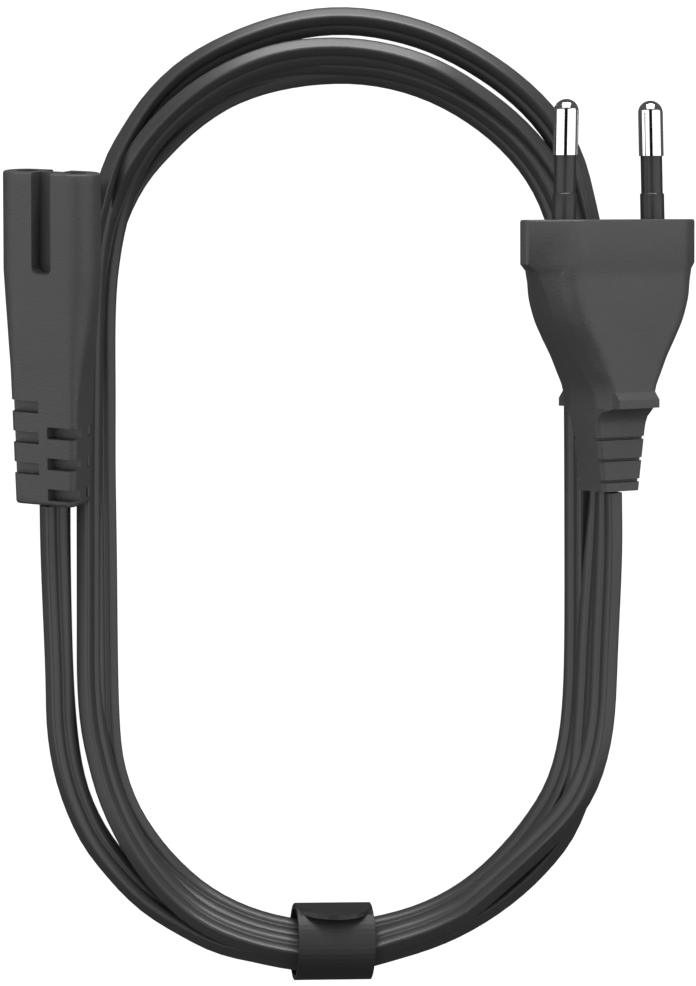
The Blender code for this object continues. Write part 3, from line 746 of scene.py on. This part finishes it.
def build_plug():
    """Plug with its thumb ledges, the slots across its relief and the seats of its pins."""
    rings = [plug_ring(PLUG_RIM * share, *PLUG_FACE) for share in RIM_SHARES]
    rings.append(plug_ring(PLUG_HEAD, *PLUG_FACE))
    span = PLUG_NECK - PLUG_HEAD
    first = PLUG_BODY[0][0]
    for number in range(PLUG_BODY_RINGS + 1):
        share = first + (1.0 - first) * number / PLUG_BODY_RINGS
        rings.append(plug_ring(PLUG_HEAD + span * share, *curve(PLUG_BODY, share)))
    span = PLUG_LENGTH - PLUG_NECK
    first = PLUG_RELIEF[0][0]
    for number in range(PLUG_RELIEF_RINGS + 1):
        share = first + (1.0 - first) * number / PLUG_RELIEF_RINGS
        rings.append(relief_ring(PLUG_NECK + span * share, *curve(PLUG_RELIEF, share)))
    body = loft("plug_moulding", rings)
    for face in (-1, 1):
        combine(body, thumb_ledge(face), "UNION")
        for number in range(PLUG_SLOTS):
            top = -(PLUG_SLOT_FIRST + number * PLUG_SLOT_PITCH)
            zs = sorted((
                face * (RELIEF_HALF_THICK - PLUG_SLOT_DEPTH),
                face * (RELIEF_HALF_THICK + CUTTER_REACH),
            ))
            reach = RELIEF_HALF_WIDTH + CUTTER_REACH
            slot = block((-reach, top - PLUG_SLOT, zs[0]), (reach, top, zs[1]))
            combine(body, slot, "DIFFERENCE")
    for side in (-1, 1):
        socket = barrel(PIN_SOCKET, side * PIN_PITCH / 2.0, side * PIN_LEAN)
        combine(body, socket, "DIFFERENCE")
    return body


def build_pin(side):
    """Round pin with a domed tip; its shank runs down through the sleeve into the plug."""
    shoulder = SLEEVE[-1][1]
    outline = [(PIN_SHANK_RADIUS, -PIN_ROOT), (PIN_SHANK_RADIUS, shoulder), (PIN_RADIUS, shoulder)]
    for step in range(PIN_STEPS):
        angle = math.pi / 2.0 * step / PIN_STEPS
        height = PIN_LENGTH - PIN_RADIUS + PIN_RADIUS * math.sin(angle)
        outline.append((PIN_RADIUS * math.cos(angle), height))
    return barrel(outline, side * PIN_PITCH / 2.0, side * PIN_LEAN)


def build_sleeve(side):
    """Insulating sleeve of one pin, with a wider foot at the plug's face."""
    middle = side * PIN_PITCH / 2.0
    sleeve = barrel(SLEEVE, middle, side * PIN_LEAN)
    ends = (
        (SLEEVE_BORE, SLEEVE[0][1] - CUTTER_REACH),
        (SLEEVE_BORE, SLEEVE[-1][1] + CUTTER_REACH),
    )
    combine(sleeve, barrel(ends, middle, side * PIN_LEAN), "DIFFERENCE")
    return sleeve


def thumb_ledge(face):
    """Ledge across one wide face at the neck, bevelled towards the head."""
    foot = -(PLUG_NECK - LEDGE_SILL)
    shoulder = foot + LEDGE_BAND
    proud = face * (PLUG_FLUSH + LEDGE_RAISE)
    zs = sorted((face * RELIEF_HALF_THICK, proud))
    ledge = block((-LEDGE_HALF_WIDTH, foot, zs[0]), (LEDGE_HALF_WIDTH, shoulder, zs[1]))

    def shoulder_edge(one, two):
        return min(one.y, two.y) > shoulder - NEAR

    def outer_edge(one, two):
        ahead = min(one.y, two.y) > shoulder + NEAR
        return ahead and max(abs(one.z - proud), abs(two.z - proud)) < NEAR

    select_edges(ledge, shoulder_edge)
    bpy.ops.mesh.extrude_region_move(
        TRANSFORM_OT_translate={"value": (0.0, LEDGE_BEVEL * MM, 0.0)}
    )
    bpy.ops.object.mode_set(mode="OBJECT")
    select_edges(ledge, outer_edge)
    drop = -face * (LEDGE_RAISE + LEDGE_SINK) * MM
    bpy.ops.transform.translate(value=(0.0, 0.0, drop))
    bpy.ops.mesh.select_all(action="SELECT")
    bpy.ops.mesh.normals_make_consistent(inside=False)
    bpy.ops.object.mode_set(mode="OBJECT")
    return ledge


def settle(piece, place, order, turn, stands_for, material):
    """Puts a finished piece where its CAD node lies, smooth but for its real edges."""
    seat = Matrix.Translation(scene_point(*place)) @ Euler(turn, order).to_matrix().to_4x4()
    piece.data.transform(seat)
    piece.data.shade_smooth()
    piece.data.set_sharp_from_angle(angle=SHARP_ANGLE)
    dress(piece, material)
    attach(piece, "root")
    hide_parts(stands_for)
    piece.name = stands_for + "_shown"
    return piece


def rounded_copy(node, material):
    """Shows a CAD node by a merged copy whose curved faces are smooth."""
    model = bmesh.new()
    model.from_mesh(node.data)
    bmesh.ops.remove_doubles(model, verts=model.verts[:], dist=STRAP_MERGE)
    mesh = bpy.data.meshes.new(node.name + "_shown")
    model.to_mesh(mesh)
    model.free()
    mesh.shade_smooth()
    mesh.set_sharp_from_angle(angle=STRAP_SHARP_ANGLE)
    piece = bpy.data.objects.new(node.name + "_shown", mesh)
    bpy.context.scene.collection.objects.link(piece)
    dress(piece, material)
    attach(piece, "root")
    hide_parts(node.name)


def plastic(name, dark, light, roughness, grain_scale, grain_depth):
    """Moulded plastic: a fine grain in its surface and a faint drift in its colour."""
    material = bpy.data.materials.new(name)
    material.use_nodes = True
    nodes = material.node_tree.nodes
    links = material.node_tree.links
    shader = nodes["Principled BSDF"]
    place = nodes.new("ShaderNodeTexCoord")
    drift = nodes.new("ShaderNodeTexNoise")
    drift.inputs["Scale"].default_value = DRIFT_SCALE
    drift.inputs["Detail"].default_value = DRIFT_DETAIL
    tone = nodes.new("ShaderNodeMix")
    tone.data_type = "RGBA"
    tone.inputs["A"].default_value = (dark, dark, dark * PLASTIC_BLUE, 1.0)
    tone.inputs["B"].default_value = (light, light, light * PLASTIC_BLUE, 1.0)
    grain = nodes.new("ShaderNodeTexNoise")
    grain.inputs["Scale"].default_value = grain_scale
    grain.inputs["Detail"].default_value = GRAIN_DETAIL
    bump = nodes.new("ShaderNodeBump")
    bump.inputs["Strength"].default_value = GRAIN_STRENGTH
    bump.inputs["Distance"].default_value = grain_depth
    links.new(place.outputs["Object"], drift.inputs["Vector"])
    links.new(place.outputs["Object"], grain.inputs["Vector"])
    links.new(drift.outputs["Fac"], tone.inputs["Factor"])
    links.new(tone.outputs["Result"], shader.inputs["Base Color"])
    links.new(grain.outputs["Fac"], bump.inputs["Height"])
    links.new(bump.outputs["Normal"], shader.inputs["Normal"])
    shader.inputs["Roughness"].default_value = roughness
    shader.inputs["Specular IOR Level"].default_value = PLASTIC_SPECULAR
    return material


def bright_metal(name):
    """Bright nickel plate."""
    material = bpy.data.materials.new(name)
    material.use_nodes = True
    shader = material.node_tree.nodes["Principled BSDF"]
    shader.inputs["Base Color"].default_value = METAL_COLOUR
    shader.inputs["Metallic"].default_value = 1.0
    shader.inputs["Roughness"].default_value = METAL_ROUGHNESS
    return material


def dress(node, material):
    """Gives a piece one material."""
    node.data.materials.clear()
    node.data.materials.append(material)


def panel(name, centre, size, power):
    """Soft light of a size in metres, turned to the origin."""
    light = bpy.data.lights.new(name, "AREA")
    light.shape = "RECTANGLE"
    light.size = size[0]
    light.size_y = size[1]
    light.energy = power
    lamp = bpy.data.objects.new(name, light)
    lamp.location = centre
    lamp.rotation_euler = (-Vector(centre)).to_track_quat("-Z", "Y").to_euler()
    bpy.context.scene.collection.objects.link(lamp)
    return lamp


def build_camera():
    """Camera over the cord, where the photo's was."""
    data = bpy.data.cameras.new("camera")
    data.sensor_fit = "AUTO"
    data.sensor_width = SENSOR
    data.lens = FOCAL_PX * SENSOR / IMAGE_HEIGHT
    data.clip_start = CAMERA_NEAR
    camera = bpy.data.objects.new("camera", data)
    camera.location = scene_point(
        0.0, CAMERA_DISTANCE * math.sin(CAMERA_TILT), CAMERA_DISTANCE * math.cos(CAMERA_TILT)
    )
    camera.rotation_euler = (-CAMERA_TILT, 0.0, 0.0)
    bpy.context.scene.collection.objects.link(camera)
    bpy.context.scene.camera = camera


def card(name, size, place, shade, roughness):
    """Flat matt card of the stage, with its material; returns both."""
    bpy.ops.object.select_all(action="DESELECT")
    bpy.ops.mesh.primitive_plane_add(size=size, location=place)
    sheet = bpy.context.active_object
    sheet.name = name
    finish = bpy.data.materials.new(name)
    finish.use_nodes = True
    shader = finish.node_tree.nodes["Principled BSDF"]
    shader.inputs["Base Color"].default_value = (shade, shade, shade, 1.0)
    shader.inputs["Roughness"].default_value = roughness
    shader.inputs["Specular IOR Level"].default_value = 0.0
    sheet.data.materials.append(finish)
    return sheet, shader


def build_stage():
    """White paper floor under soft panels, as a product photo has."""
    floor, paper = card(
        "paper_floor", PAPER_SIZE, (0.0, 0.0, -PAPER_DROP), PAPER_SHADE, PAPER_ROUGHNESS
    )
    paper.inputs["Emission Color"].default_value = WHITE
    paper.inputs["Emission Strength"].default_value = PAPER_GLOW
    floor.visible_diffuse = False
    floor.visible_glossy = False
    flag = card("overhead_flag", 1.0, FLAG_PLACE, FLAG_SHADE, 1.0)[0]
    flag.scale = FLAG_SIZE
    [panel(*values) for values in PANELS]
    world = bpy.data.worlds.new("studio")
    world.use_nodes = True
    sky = world.node_tree.nodes["Background"]
    sky.inputs["Color"].default_value = WHITE
    sky.inputs["Strength"].default_value = AMBIENT
    bpy.context.scene.world = world
    bpy.context.scene.view_settings.view_transform = "Standard"


def main():
    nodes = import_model()["nodes"]
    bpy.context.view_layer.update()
    moulding = plastic(
        "moulding", dark=0.043, light=0.055, roughness=0.5, grain_scale=2600.0, grain_depth=0.00016
    )
    flex_finish = plastic(
        "flex", dark=0.030, light=0.038, roughness=0.36, grain_scale=900.0, grain_depth=0.00001
    )
    strap_finish = plastic(
        "strap", dark=0.014, light=0.019, roughness=0.5, grain_scale=1500.0, grain_depth=0.00003
    )
    insulation = plastic(
        "insulation", dark=0.018, light=0.024, roughness=0.35, grain_scale=900.0,
        grain_depth=0.00001,
    )
    metal = bright_metal("pin_metal")

    settle(
        build_connector(), CONNECTOR_PLACE, "YXZ", CONNECTOR_TURN,
        "c7_connector", moulding,
    )
    plug_pieces = [
        settle(build_plug(), PLUG_PLACE, "XYZ", PLUG_TURN, "plug_body", moulding)
    ]
    for side, label in ((-1, "left"), (1, "right")):
        plug_pieces.append(settle(
            build_pin(side), PLUG_PLACE, "XYZ", PLUG_TURN, "pin_" + label, metal
        ))
        plug_pieces.append(settle(
            build_sleeve(side), PLUG_PLACE, "XYZ", PLUG_TURN,
            "pin_sleeve_" + label, insulation,
        ))
        dress(nodes["contact_" + label], metal)
    rounded_copy(nodes["cable_strap"], strap_finish)

    points = smooth(flex_route(), FLEX_STEP)
    flex = sweep("flex", points, flex_section())
    dress(flex, flex_finish)
    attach(flex, "root")
    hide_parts("flex_coil", "flex_connector_lead", "flex_plug_lead")

    build_camera()
    build_stage()


main()
